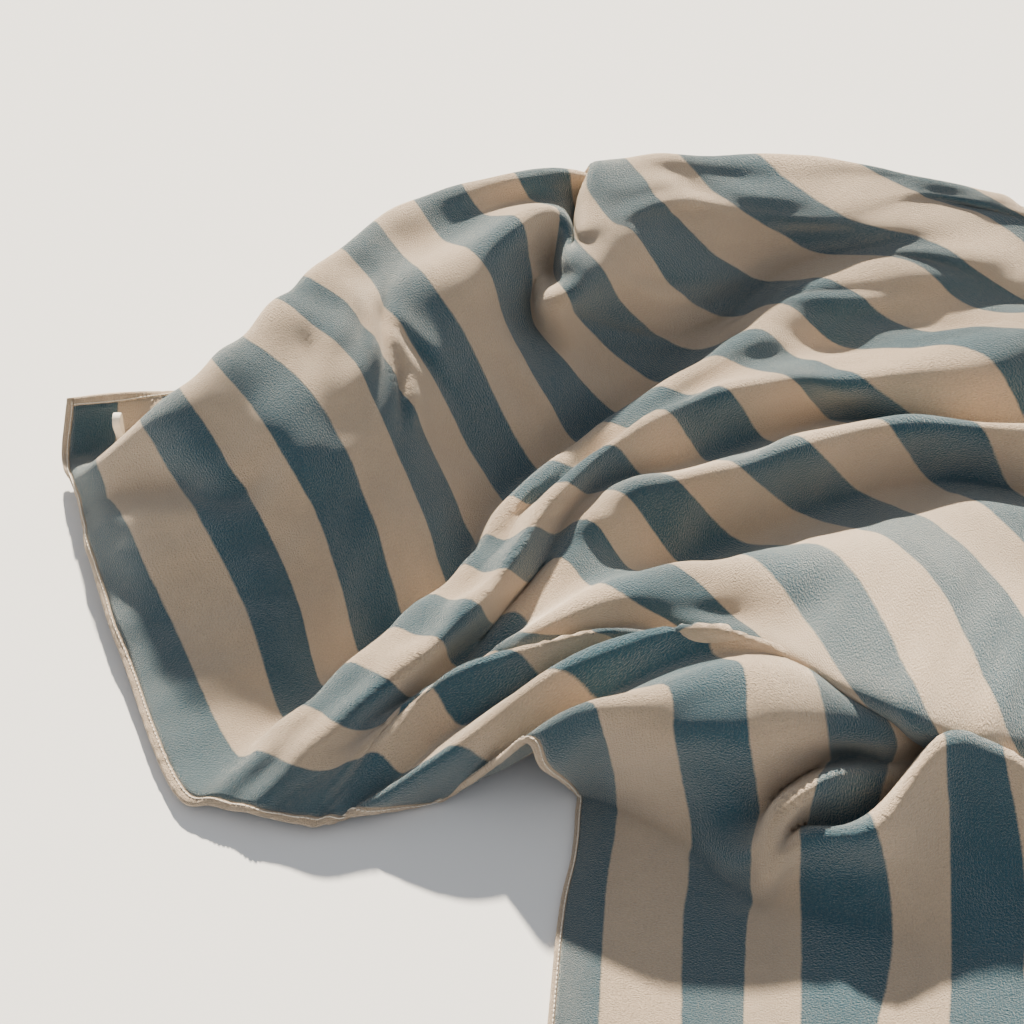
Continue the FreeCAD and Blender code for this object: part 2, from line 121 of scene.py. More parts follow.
FOLDS = {
    "far_edge": [(0, -280, 60, 40), (45, -247, 65, 40), (85, -218, 72, 34), (155, -172, 95, 10),
        (305, -112, 172, 8), (455, 0, 262, 6), (605, 92, 280, 5), (700, 125, 294, 4),
        (800, 155, 303, 3)],
    "back_fall": [(0, -284, 33, 12), (45, -250, 38, 14), (85, -222, 45, 34), (155, -176, 65, 55),
        (305, -110, 150, 55), (455, 0, 238, 50), (605, 106, 262, 45), (680, 195, 280, 24),
        (800, 245, 294, 3)],
    "ridge": [(0, -272, 6, 18), (45, -250, -2, 50), (80, -222, 5, 75), (155, -178, 33, 98),
        (193, -162, 50, 104), (230, -143, 77, 107), (268, -126, 97, 107), (305, -106, 124, 105),
        (380, -64, 178, 98), (455, 1, 212, 90), (492, 36, 221, 86), (503, 49, 224, 80),
        (517, 54, 230, 70), (533, 53, 219, 93), (548, 63, 221, 94), (567, 75, 225, 92),
        (605, 110, 236, 86), (645, 167, 258, 68), (680, 232, 265, 56), (720, 319, 254, 42),
        (800, 340, 276, 4)],
    "dip": [(0, -270, 0, 14), (45, -245, -10, 44), (80, -213, -9, 70), (155, -155, 5, 90),
        (230, -115, 55, 100), (305, -90, 108, 97), (380, -46, 155, 86), (455, 12, 201, 77),
        (476, 32, 204, 72), (502, 44, 212, 64), (527, 48, 194, 92), (567, 85, 208, 91),
        (605, 121, 228, 79), (645, 188, 239, 62), (680, 252, 256, 51), (720, 328, 247, 41),
        (800, 368, 268, 4)],
    "second_ridge": [(0, -267, -8, 10), (45, -243, -17, 34), (80, -202, -22, 54), (155, -134, -24, 76),
        (230, -97, 40, 94), (305, -81, 88, 99), (380, -26, 127, 100), (450, 26, 173, 96),
        (468, 36, 174, 87), (484, 39, 179, 70), (504, 44, 158, 89), (535, 61, 177, 91),
        (567, 90, 198, 88), (605, 133, 217, 72), (645, 209, 225, 57), (680, 268, 248, 47),
        (720, 337, 243, 38), (800, 390, 262, 4)],
    "pocket": [(0, -263, -21, 12), (45, -236, -30, 39), (80, -194, -34, 52), (155, -126, -35, 66),
        (230, -87, 24, 84), (305, -67, 68, 90), (380, -14, 115, 88), (415, 9, 143, 75),
        (436, 20, 153, 64), (455, 28, 157, 58), (477, 37, 137, 86), (500, 49, 148, 88),
        (535, 68, 170, 88), (567, 98, 191, 85), (605, 143, 212, 67), (645, 218, 220, 54),
        (680, 276, 245, 46), (720, 343, 240, 36), (800, 401, 261, 4)],
    "upper_slope": [(0, -260, -34, 14), (45, -229, -43, 44), (80, -187, -46, 52), (155, -118, -45, 55),
        (230, -78, 8, 72), (305, -53, 51, 76), (380, -6, 103, 66), (402, 5, 114, 50),
        (421, 15, 125, 44), (442, 25, 108, 76), (462, 37, 114, 82), (494, 55, 135, 84),
        (531, 75, 168, 83), (605, 152, 209, 62), (645, 228, 216, 50), (680, 283, 244, 43),
        (720, 349, 238, 34), (800, 412, 252, 4)],
    "lower_slope": [(0, -231, -113, 10), (45, -197, -103, 20), (80, -157, -97, 27),
        (155, -103, -80, 30), (230, -58, -25, 38), (305, -30, 25, 36), (380, 18, 68, 36),
        (455, 50, 115, 42), (530, 105, 150, 48), (605, 177, 207, 46), (645, 250, 213, 44),
        (680, 300, 240, 39), (740, 405, 225, 18), (800, 434, 242, 4)],
    "valley_1": [(0, -183, -216, 6), (81, -130, -163, 8), (156, -88, -118, 8), (231, -37, -70, 8),
        (306, -7, 3, 8), (381, 42, 49, 8), (456, 97, 102, 8), (531, 145, 164, 8), (568, 174, 190, 15),
        (606, 205, 203, 32), (645, 279, 210, 38), (681, 326, 233, 34), (740, 422, 220, 18),
        (800, 458, 230, 4)],
    "low_crest": [(0, -168, -219, 8), (81, -116, -170, 32), (156, -68, -118, 36), (231, -28, -72, 35),
        (306, 1, -19, 35), (381, 58, 42, 35), (456, 130, 100, 37), (493, 162, 126, 32),
        (531, 180, 152, 32), (568, 215, 168, 35), (606, 264, 190, 35), (645, 304, 191, 34),
        (681, 360, 205, 25), (745, 435, 195, 12), (800, 484, 212, 4)],
    "groove": [(0, -158, -222, 8), (81, -106, -176, 34), (156, -56, -126, 42), (231, -18, -78, 36),
        (306, 12, -20, 29), (381, 75, 38, 34), (456, 150, 95, 30), (531, 215, 130, 15),
        (606, 310, 160, 18), (681, 390, 175, 12), (800, 505, 190, 5)],
    "crest_1": [(0, -146, -225, 10), (81, -98, -185, 38), (156, -41, -136, 50), (231, -5, -85, 50),
        (306, 31, -16, 45), (381, 95, 43, 45), (456, 176, 75, 42), (493, 218, 77, 41),
        (531, 300, 98, 40), (606, 370, 130, 35), (800, 530, 165, 20)],
    "valley_2": [(0, -136, -227, 8), (81, -84, -186, 32), (156, -33, -134, 22), (231, 10, -72, 22),
        (306, 48, -8, 25), (381, 120, 30, 14), (456, 207, 68, 8), (531, 335, 60, 6), (606, 405, 95, 6),
        (800, 555, 140, 5)],
    "crest_2": [(0, -128, -229, 8), (81, -76, -184, 32), (156, -26, -140, 26), (231, 28, -60, 28),
        (306, 67, -19, 40), (381, 135, -5, 50), (456, 229, 27, 52), (531, 345, 30, 45),
        (606, 430, 62, 32), (800, 580, 112, 18)],
    "valley_3": [(0, -122, -230, 7), (81, -68, -180, 34), (156, -20, -145, 28), (231, 42, -75, 25),
        (306, 103, -49, 6), (381, 180, -8, 6), (456, 264, 18, 6), (531, 365, 5, 6), (606, 450, 30, 6),
        (800, 605, 85, 5)],
    "crest_4": [(0, -116, -231, 7), (81, -62, -176, 38), (156, -10, -142, 45), (193, 5, -130, 48),
        (231, 57, -101, 50), (306, 137, -82, 55), (343, 185, -70, 48), (381, 225, -60, 42),
        (456, 290, -30, 32), (531, 390, -35, 28), (606, 480, -12, 22), (800, 630, 55, 8)],
    "lap": [(0, -110, -232, 6), (81, -54, -170, 38), (156, 20, -136, 34), (193, 45, -122, 36),
        (231, 85, -115, 44), (306, 162, -118, 54), (381, 250, -110, 48), (456, 325, -80, 26),
        (606, 500, -50, 6), (800, 645, 32, 5)],
    "roll_b": [(0, -104, -231, 7), (44, -73, -197, 27), (81, -46, -165, 45), (118, 0, -146, 52),
        (156, 46, -130, 50), (193, 80, -128, 42), (231, 115, -134, 40), (250, 135, -142, 46),
        (268, 155, -155, 54), (306, 190, -183, 60), (381, 270, -205, 52), (456, 350, -135, 24),
        (606, 520, -88, 8), (800, 660, 8, 5)],
    "tuck_b": [(0, -97, -229, 6), (44, -60, -205, 18), (81, -28, -180, 28), (156, 82, -134, 24),
        (193, 140, -145, 14), (231, 182, -155, 12), (306, 233, -182, 12), (381, 300, -215, 10),
        (456, 365, -160, 5), (606, 530, -110, 4), (800, 672, -15, 4)],
    "roll_c": [(0, -88, -226, 9), (44, -30, -199, 38), (81, 27, -161, 54), (118, 105, -135, 63),
        (137, 130, -143, 63), (156, 150, -150, 58), (193, 184, -163, 28), (231, 220, -167, 20),
        (306, 270, -203, 24), (381, 330, -245, 26), (456, 380, -188, 12), (606, 541, -132, 4),
        (800, 684, -40, 4)],
    "tuck_c": [(0, -45, -215, 3), (44, -5, -200, 20), (81, 50, -172, 40), (118, 112, -148, 52),
        (137, 137, -151, 56), (156, 159, -157, 54), (193, 192, -172, 33), (231, 226, -175, 26),
        (306, 280, -209, 26), (381, 336, -255, 18), (456, 390, -205, 8), (606, 548, -150, 4),
        (800, 692, -56, 4)],
    "flap_ridge": [(0, 8, -204, 48), (44, 44, -191, 66), (81, 84, -186, 73), (118, 125, -174, 74),
        (156, 166, -178, 66), (193, 201, -187, 50), (231, 231, -190, 40), (306, 288, -219, 34),
        (381, 340, -265, 12), (456, 400, -222, 6), (606, 555, -168, 4), (800, 700, -72, 4)],
    "brow": [(0, 15, -209, 36), (44, 50, -205, 56), (81, 87, -209, 62), (118, 126, -208, 64),
        (137, 148, -206, 60), (156, 171, -202, 52), (193, 210, -198, 40), (231, 236, -190, 26),
        (306, 295, -226, 24), (381, 343, -271, 8), (456, 406, -230, 5), (606, 558, -178, 4),
        (800, 706, -81, 4)],
    "flap_face": [(0, 30, -210, 14), (44, 57, -212, 28), (81, 94, -223, 30), (118, 134, -233, 20),
        (137, 149, -215, 18), (156, 176, -198, 20), (193, 209, -200, 22), (231, 239, -190, 14),
        (306, 301, -237, 12), (381, 348, -280, 6), (456, 412, -239, 4), (606, 563, -188, 4),
        (800, 712, -92, 4)],
    "near_roll": [(0, 36, -209, 3), (44, 59, -218, 4), (81, 99, -241, 6), (118, 128, -259, 26),
        (137, 142, -243, 42), (156, 162, -233, 50), (175, 182, -220, 44), (193, 204, -213, 28),
        (231, 240, -194, 10), (306, 304, -249, 8), (381, 350, -286, 4), (456, 416, -248, 4),
        (606, 566, -198, 4), (800, 718, -103, 4)],
    "pit": [(0, 35, -222, 2), (44, 58, -227, 2), (81, 97, -248, 3), (118, 128, -265, 16),
        (137, 140, -256, 34), (156, 159, -236, 14), (175, 179, -234, 6), (193, 199, -224, 6),
        (231, 241, -196, 6), (306, 306, -260, 6), (381, 352, -290, 4), (456, 417, -252, 4),
        (606, 568, -203, 4), (800, 722, -109, 4)],
    "last_roll": [(0, 34, -236, 2), (44, 56, -241, 2), (81, 96, -256, 3), (118, 129, -270, 8),
        (137, 141, -268, 26), (156, 154, -255, 34), (193, 191, -254, 46), (231, 233, -209, 60),
        (268, 263, -214, 58), (306, 299, -242, 50), (381, 354, -296, 6), (456, 420, -256, 4),
        (606, 570, -208, 4), (800, 725, -115, 4)],
    "last_face": [(0, 32, -251, 2), (44, 53, -256, 2), (81, 95, -267, 2), (118, 129, -278, 3),
        (156, 154, -272, 14), (193, 199, -270, 22), (231, 235, -249, 26), (306, 310, -285, 14),
        (381, 358, -302, 3), (456, 424, -263, 3), (606, 573, -218, 3), (800, 732, -128, 3)],
    "floor_lap": [(0, 26, -277, 0), (44, 50, -280, 0), (81, 92, -282, 0), (118, 126, -285, 1),
        (156, 154, -290, 2), (193, 201, -301, 3), (231, 231, -314, 3), (306, 305, -330, 2),
        (381, 362, -312, 0), (456, 430, -269, 0), (606, 578, -227, 0), (800, 742, -140, 0)],
    "near_edge": [(0, 17, -360, 0), (44, 44, -362, 0), (81, 86, -365, 0), (156, 147, -365, 0),
        (231, 222, -365, 0), (306, 305, -355, 0), (381, 370, -330, 0), (456, 440, -289, 0),
        (606, 588, -250, 0), (800, 765, -180, 0)],
}
print(len(FOLDS), "fold lines, through", sum(len(fold) for fold in FOLDS.values()), "points")

# %% [markdown]
# ## From fold lines to a surface
#
# Cloth turns smoothly from one fold to the next, so both directions use the same cubic curve: each
# fold line is a curve through its points, and at each u a curve runs across all the fold lines.
# Each line is then walked at an even pace from end to end, which makes v a true length of cloth.

# %% The lie of the cloth
PROFILE_STEPS = 25


def slopes(knots, values):
    """Slope at each knot: the two chord slopes beside it, the nearer chord weighing more."""
    gaps = np.diff(knots, axis=-1)
    chords = np.diff(values, axis=-2) / gaps[..., None]
    share = (gaps[..., 1:] / (gaps[..., 1:] + gaps[..., :-1]))[..., None]
    inner = share * chords[..., :-1, :] + (1 - share) * chords[..., 1:, :]
    return np.concatenate((chords[..., :1, :], inner, chords[..., -1:, :]), axis=-2)


def hermite(s, step, start, leave, end, arrive):
    """The cubic from start to end over a step, with slopes leave and arrive, at s from 0 to 1."""
    return ((2 * s**3 - 3 * s**2 + 1) * start + (s**3 - 2 * s**2 + s) * step * leave
            + (3 * s**2 - 2 * s**3) * end + (s**3 - s**2) * step * arrive)


def fold_curve(fold, us):
    """Points of one fold line at each u: the cubic curve through the line's own points."""
    fold = np.array(fold, float)
    knots, points = fold[:, 0], fold[:, 1:]
    slope = slopes(knots, points)
    i = np.clip(np.searchsorted(knots, us, side="right") - 1, 0, len(knots) - 2)
    step = (knots[i + 1] - knots[i])[:, None]
    s = (np.asarray(us) - knots[i])[:, None] / step
    return hermite(s, step, points[i], slope[i], points[i + 1], slope[i + 1])


def laid_height(z):
    """Height that eases down onto the surface: rest + settle * ln(1 + e^((z - rest) / settle))."""
    return REST_HEIGHT + SETTLE * np.logaddexp(0, (z - REST_HEIGHT) / SETTLE)


def cloth_lines(us):
    """For each u, a finely sampled line of cloth across all the folds."""
    points = np.stack([fold_curve(fold, us) for fold in FOLDS.values()], axis=1)
    gaps = np.sqrt(np.linalg.norm(np.diff(points, axis=1), axis=2))
    knots = np.concatenate((np.zeros((len(us), 1)), np.cumsum(gaps, axis=1)), axis=1)
    slope = slopes(knots, points)
    s = (np.arange(PROFILE_STEPS) / PROFILE_STEPS)[None, None, :, None]
    ends = [a[:, :, None, :] for a in (points[:, :-1], slope[:, :-1], points[:, 1:], slope[:, 1:])]
    fine = hermite(s, gaps[:, :, None, None], *ends).reshape(len(us), -1, 3)
    return np.concatenate((fine, points[:, -1:]), axis=1)


print("samples on each line:", cloth_lines(np.array([0.0])).shape[1])

# %% [markdown]
# ## Walking the cloth at an even pace
#
# A stripe keeps its width only if v grows with the true length of cloth, so the length of each line
# is summed along it. Neighbouring lines that run over different folds would shear against each
# other, so their sums are averaged over a few centimetres, as the weave itself would share them out.

# %% The cloth at any u and v
def averaged_runs(stations):
    """The v of each sample on lines at the stations: true lengths, scaled from 0 to LENGTH, and each
    averaged with its neighbours by weights exp(-(distance / PACE_WIDTH)^2)."""
    run = np.cumsum(np.linalg.norm(np.diff(cloth_lines(stations), axis=1), axis=2), axis=1)
    run = np.concatenate((np.zeros((len(stations), 1)), run), axis=1)
    weights = np.exp(-((stations[:, None] - stations) / PACE_WIDTH) ** 2)
    return weights / weights.sum(axis=1, keepdims=True) @ (LENGTH * run / run[:, -1:])


STATIONS = np.linspace(0, WIDTH, 41)
PACE_WIDTH = 40.0
RUNS = averaged_runs(STATIONS)
print("runs:", RUNS.shape[0], "stations of", RUNS.shape[1], "samples")


def runs_at(us):
    """The averaged runs at any u, blended between the two nearest stations."""
    place = np.asarray(us) / WIDTH * (len(STATIONS) - 1)
    i = np.minimum(place.astype(int), len(STATIONS) - 2)
    share = (place - i)[:, None]
    return (1 - share) * RUNS[i] + share * RUNS[i + 1]


def cloth(us, vs):
    """The middle of the cloth in layout millimetres, one row of points for each u, v evenly walked."""
    rows = [np.stack([np.interp(vs, run, line[:, c]) for c in range(3)], axis=1)
            for line, run in zip(cloth_lines(us), runs_at(us))]
    grid = np.array(rows)
    grid[..., 2] = laid_height(grid[..., 2])
    return grid


def cloth_at(u, v):
    """The same surface at paired u and v: each v is found in its own line and blended between samples."""
    lines, runs = cloth_lines(u), runs_at(u)
    i = np.clip((runs <= v[:, None]).sum(axis=1) - 1, 0, runs.shape[1] - 2)
    row = np.arange(len(u))
    share = ((v - runs[row, i]) / (runs[row, i + 1] - runs[row, i]))[:, None]
    points = (1 - share) * lines[row, i] + share * lines[row, i + 1]
    points[:, 2] = laid_height(points[:, 2])
    return points


def unit(vectors):
    """Each vector divided by its own length."""
    return vectors / np.linalg.norm(vectors, axis=-1, keepdims=True)


def grid_normals(grid):
    """The cloth's upward normals: its slope along v crossed with its slope along u."""
    return unit(np.cross(np.gradient(grid, axis=1), np.gradient(grid, axis=0)))


# %% [markdown]
# ## Softness
#
# Terry never lies as clean as the fold lines say. Two things are added along the surface's normals:
# a slow waviness, made of plane waves with random directions, and a few pinches where the cloth has
# been gripped. A pinch is a groove with a raised lip at each side, fading out at both its ends.

# %% Waviness and pinches
WAVE_HEIGHT = 0.8
WAVE_COUNT, WAVE_SHORTEST, WAVE_LONGEST, WAVE_SEED = 26, 26.0, 90.0, 5
FADE_HEIGHT = 12  # how far above the rest height the softness is whole
PINCHES = [  # u, v, then how far it runs in u and in v, its width and its depth
    (289, 152, -24, 15, 6.5, 5.0), (270, 183, -20, 16, 5.5, 4.2), (246, 150, -30, 9, 8.0, 2.6),
    (306, 176, 6, 24, 6.0, 2.2), (213, 140, -16, 12, 7.0, 1.8), (128, 168, -26, 6, 9.0, 2.2),
    (478, 250, 20, 16, 7.0, 1.8), (530, 210, 22, 14, 9.0, 1.6), (600, 135, 14, 22, 10.0, 1.8),
    (420, 205, 10, 24, 8.0, 1.8), (360, 230, 8, 26, 9.0, 1.6), (262, 505, 20, 14, 9.0, 2.0),
    (330, 540, 26, 10, 11.0, 1.8), (560, 300, 22, 8, 8.0, 2.0), (180, 300, 14, 26, 10.0, 1.6),
]


def waves(u, v, count, shortest, longest, seed):
    """The sum of count sines of u and v with random directions, lengths and phases, times
    (2 / count)^0.5, which keeps its usual height near 1 whatever the count."""
    draw = np.random.default_rng(seed)
    heading, phase = draw.uniform(0, np.pi, count), draw.uniform(0, 2 * np.pi, count)
    turn = 2 * np.pi / (shortest * (longest / shortest) ** draw.uniform(0, 1, count))
    total = sum(np.sin(t * (u * np.cos(h) + v * np.sin(h)) + p) for t, h, p in zip(turn, heading, phase))
    return total * math.sqrt(2 / count)


def relief(u, v, height):
    """How far the surface stands off its fold lines. Pinches: -depth (1 - t^2) e^(-t^2 / 2 - s^2), with
    t across in widths and s along in lengths. All of it fades out where the cloth lies flat."""
    off = WAVE_HEIGHT * waves(u, v, WAVE_COUNT, WAVE_SHORTEST, WAVE_LONGEST, WAVE_SEED)
    for pu, pv, run_u, run_v, width, depth in PINCHES:
        length = math.hypot(run_u, run_v)
        du, dv = u - pu, v - pv
        s = (du * run_u + dv * run_v) / length**2
        t = (du * run_v - dv * run_u) / length / width
        off = off - depth * (1 - t**2) * np.exp(-(t**2) / 2 - s**2)
    return off * np.clip((height - REST_HEIGHT) / FADE_HEIGHT, 0, 1)


def soft_cloth(us, vs):
    """The cloth with its relief, on a grid."""
    grid = cloth(us, vs)
    u, v = np.meshgrid(us, vs, indexing="ij")
    return grid + grid_normals(grid) * relief(u, v, grid[..., 2])[..., None]


ACROSS, ALONG = 207, 235
us = np.linspace(HEM_WIDTH, WIDTH - HEM_WIDTH, ACROSS)
vs = np.linspace(HEM_WIDTH, LENGTH - HEM_WIDTH, ALONG)
lie = soft_cloth(us, vs)
print("cloth grid", lie.shape, "heights", lie[..., 2].min().round(1), "to", lie[..., 2].max().round(1), "mm")

# %% [markdown]
# ## Meshes from grids
#
# A layer of cloth is a grid pushed half its thickness to each side and closed round the rim.
# Its UV map holds u and v in metres, so stripes, pile and stitches all follow the cloth.

# %% A closed layer of cloth
def grid_faces(rows, columns):
    """Corner numbers of the grid's quads, counted so that they face up."""
    index = np.arange(rows * columns).reshape(rows, columns)
    return np.stack((index[:-1, :-1], index[:-1, 1:], index[1:, 1:], index[1:, :-1]), axis=-1).reshape(-1, 4)


def rim_loop(rows, columns):
    """The grid's outline as corner numbers, once round."""
    index = np.arange(rows * columns).reshape(rows, columns)
    return np.concatenate((index[:-1, 0], index[-1, :-1], index[:0:-1, -1], index[0, :0:-1]))


def add_mesh(name, points, faces, uv=None):
    """A smooth mesh object from points in metres, quads, and a UV for each point."""
    mesh = bpy.data.meshes.new(name)
    mesh.from_pydata(points.tolist(), [], faces.tolist())
    mesh.polygons.foreach_set("use_smooth", np.ones(len(faces), bool))
    if uv is not None:
        layer = mesh.uv_layers.new(name="cloth")
        layer.data.foreach_set("uv", uv[faces.ravel()].ravel().astype(np.float32))
    mesh.update()
    thing = bpy.data.objects.new(name, mesh)
    bpy.context.scene.collection.objects.link(thing)
    return thing


def add_layer(name, grid, us, vs, thickness):
    """A closed layer: the grid moved along its normals by half of thickness each way, plus its rim."""
    rows, columns = grid.shape[:2]
    lift = grid_normals(grid) * (np.broadcast_to(thickness, grid.shape[:2]) / 2)[..., None]
    points = placed(np.concatenate(((grid + lift).reshape(-1, 3), (grid - lift).reshape(-1, 3))))
    top = grid_faces(rows, columns)
    under = top[:, ::-1] + rows * columns
    edge = rim_loop(rows, columns)
    after = np.roll(edge, -1)
    rim = np.stack((edge, after, after + rows * columns, edge + rows * columns), axis=1)
    u, v = np.meshgrid(us, vs, indexing="ij")
    uv = np.tile(np.stack((u.ravel(), v.ravel()), axis=1) * MM, (2, 1))
    return add_mesh(name, points, np.concatenate((top, under, rim)), uv)


panel = add_layer("towel_panel_cloth", lie, us, vs, CLOTH_THICKNESS)
print("panel:", len(panel.data.polygons), "faces")

# %% [markdown]
# ## Hems
#
# The raw edge of a towel is turned and stitched into a narrow, firmer band. Each hem is its own
# layer over its own strip of the cut cloth, a little thicker than the panel. The stitching draws it
# in at every few threads, so the thickness swells and shrinks a little along its length.

# %% The four hems
rng = np.random.default_rng(7)
HEM_LINES = 5
HEM_ROUNDING = 0.35  # the share of its thickness that a hem loses at its edges
PUCKER_LENGTH, PUCKER_REACH, PUCKER_WAVES = 9.0, 0.10, 6


def ripple(length, wavelength, count, reach):
    """The puckers: reach times the sum of a few sines along a length, with random phases and about
    the given wavelength, divided by the square root of how many there are."""
    places = np.linspace(0, length, count)
    wavelengths = wavelength * rng.uniform(0.7, 1.5, PUCKER_WAVES)
    phases = rng.uniform(0, 2 * np.pi, PUCKER_WAVES)
    sines = np.sin(2 * np.pi * places[:, None] / wavelengths + phases)
    return reach * sines.sum(axis=1) / np.sqrt(PUCKER_WAVES)


def add_hem(name, us, vs, along_v):
    """A hem over the strip us by vs. Its thickness is a bulge across, 1 - rounding * t^4 with t from
    -1 to 1, times the puckers along."""
    grid = soft_cloth(us, vs)
    bulge = 1 - HEM_ROUNDING * np.linspace(-1, 1, HEM_LINES)[:, None] ** 4
    length, count = (LENGTH, len(vs)) if along_v else (WIDTH, len(us))
    puckers = 1 + ripple(length, PUCKER_LENGTH, count, PUCKER_REACH)
    thickness = HEM_THICKNESS * bulge * puckers[None, :]
    return add_layer(name, grid, us, vs, thickness if along_v else thickness.T)


across_side = np.linspace(0, HEM_WIDTH, HEM_LINES)
down_side = np.linspace(0, LENGTH, 2 * ALONG)
across_end = np.linspace(HEM_WIDTH, WIDTH - HEM_WIDTH, 2 * ACROSS)
hems = {
    "side_hem_left": add_hem("hem_left_cloth", across_side, down_side, True),
    "side_hem_right": add_hem("hem_right_cloth", WIDTH - across_side[::-1], down_side, True),
    "end_hem_far": add_hem("hem_far_cloth", across_end, across_side, False),
    "end_hem_near": add_hem("hem_near_cloth", across_end, LENGTH - across_side[::-1], False),
}
print("hems:", {name: len(hem.data.polygons) for name, hem in hems.items()})

# %% [markdown]
# ## The hood
#
# The hood is a triangle of the same cloth, sewn to the towel down both sides of the near right
# corner and open along its long edge. Here its pocket stands a little open, so it is seen as a hood:
# over each point of the corner it is lifted by a dome, highest in the middle of the open edge.

# %% Hood panel and its front binding
HOOD_LEG, HOOD_TIP, HOOD_RISE = 250.0, 0.1, 58.0
HOOD_FULLNESS, HOOD_FALL = 0.9, 1.3
HOOD_THICKNESS, HOOD_GAP = 2.6, 0.6
BINDING_WIDTH, BINDING_THICKNESS = 8.0, 4.0
HOOD_OPENING = 354.0  # the open edge: the third side of the triangle


def hood_grid(reaches, shares):
    """Hood points: the towel's point at that reach from the corner, split by share between the two
    sewn sides, lifted by rise * sin(pi share)^0.9 * (reach / leg)^1.3 and by the layers between."""
    share, reach = np.meshgrid(shares, reaches, indexing="ij")
    u, v = WIDTH - reach * share, LENGTH - reach * (1 - share)
    points = cloth_at(u.ravel(), v.ravel()).reshape(*share.shape, 3)
    swell = np.sin(np.pi * share) ** HOOD_FULLNESS * (reach / HOOD_LEG) ** HOOD_FALL
    points[..., 2] += HOOD_GAP + (HEM_THICKNESS + HOOD_THICKNESS) / 2 + HOOD_RISE * swell
    return points


shares = np.linspace(0, 1, 49)
reaches = np.linspace(HOOD_LEG, HOOD_LEG * HOOD_TIP, 33)
hood = add_layer("hood_cloth", hood_grid(reaches, shares), shares * HOOD_LEG, reaches, HOOD_THICKNESS)
binding_reaches = np.linspace(HOOD_LEG + BINDING_WIDTH, HOOD_LEG, 5)
binding = add_layer("hood_binding_cloth", hood_grid(binding_reaches, shares), shares * HOOD_OPENING,
                    binding_reaches, BINDING_THICKNESS)
print("hood:", len(hood.data.polygons), "faces, binding:", len(binding.data.polygons), "faces")

# %% [markdown]
# ## Thread
#
# A row of lockstitch is many short lengths of thread that dive into the cloth at each needle hole.
# One stitch is a thin tube that bends down at both ends. All of a row's stitches are made at once,
# by placing that tube's points in the frame of each stitch: along the row, across it, and up.

# %% Rows of stitches
THREAD_RADIUS = 0.36
STITCH_PITCH, STITCH_LENGTH = 3.2, 2.7
STITCH_SECTIONS, STITCH_SIDES, STITCH_END = 7, 6, 0.98


def add_stitches(name, centres, along, up, length):
    """Tubes of the given length on centres. At t from -0.98 to 0.98 along a stitch its height is
    1 - t^2 radii and its radius shrinks as (1 - t^4)^0.5, which leaves a small hole at each end."""
    count = len(centres)
    along, up = unit(along), unit(up)
    side = np.cross(up, along)
    t = np.linspace(-STITCH_END, STITCH_END, STITCH_SECTIONS)
    turn = np.arange(STITCH_SIDES) * 2 * np.pi / STITCH_SIDES
    radius = THREAD_RADIUS * np.sqrt(1 - t**4)
    across = (radius[:, None] * np.cos(turn)).ravel()
    rise = (THREAD_RADIUS * (1 - t**2)[:, None] + radius[:, None] * np.sin(turn)).ravel()
    forward = np.repeat(t * length / 2, STITCH_SIDES)
    points = (centres[:, None] + forward[:, None] * along[:, None] + across[:, None] * side[:, None]
              + rise[:, None] * up[:, None])
    ring = np.arange((STITCH_SECTIONS - 1) * STITCH_SIDES)
    after = ring // STITCH_SIDES * STITCH_SIDES + (ring + 1) % STITCH_SIDES
    one = np.stack((ring, ring + STITCH_SIDES, after + STITCH_SIDES, after), axis=1)[:, ::-1]
    size = STITCH_SECTIONS * STITCH_SIDES
    faces = (one[None] + size * np.arange(count)[:, None, None]).reshape(-1, 4)
    return add_mesh(name, placed(points.reshape(-1, 3)), faces)


def seam(grid, lift):
    """Where a row of stitches goes: the middle line of a narrow grid, lifted onto its skin."""
    up = grid_normals(grid)[1]
    along = np.gradient(grid[1], axis=0)
    return grid[1] + up * lift, along, up


SEAM_INSET = 4.7         # from the cloth's edge to a hem's seam
SUNK = 0.1               # how deep a stitch sits in the skin below it
BINDING_STITCHES = 105
HOOD_SEAM, SEAM_SPREAD = 0.02, 0.008  # the hood's seams: share from its sewn side, and grid spacing
near = SEAM_INSET + np.array((-1.0, 0.0, 1.0))
down = np.arange(4.0, LENGTH - 3, STITCH_PITCH)
over = np.arange(8.0, WIDTH - 7, STITCH_PITCH)
hem_lift = HEM_THICKNESS / 2 - SUNK
hood_down = np.arange(HOOD_LEG, 26.0, -STITCH_PITCH)
hood_side = HOOD_SEAM + SEAM_SPREAD * np.array((-1.0, 0.0, 1.0))
binding_lines = HOOD_LEG + np.array((3.4, 2.2, 1.0))
binding_shares = np.linspace(HOOD_SEAM, 1 - HOOD_SEAM, BINDING_STITCHES)
rows = {
    "left": seam(soft_cloth(near, down), hem_lift),
    "right": seam(soft_cloth(WIDTH - near[::-1], down), hem_lift),
    "far": seam(soft_cloth(over, near).swapaxes(0, 1), -hem_lift),
    "near": seam(soft_cloth(over, LENGTH - near[::-1]).swapaxes(0, 1), -hem_lift),
    "binding": seam(hood_grid(binding_lines, binding_shares).swapaxes(0, 1), SUNK - BINDING_THICKNESS / 2),
    "hood_side": seam(hood_grid(hood_down, hood_side), HOOD_THICKNESS / 2),
    "hood_end": seam(hood_grid(hood_down, 1 - hood_side[::-1]), HOOD_THICKNESS / 2),
}
threads = []
for row, (centres, along, up) in rows.items():
    up = up * np.sign(up[:, 2:].mean())
    threads.append(add_stitches("stitches_" + row, centres, along, up, STITCH_LENGTH))
print("stitches:", sum(len(centres) for centres, _, _ in rows.values()))

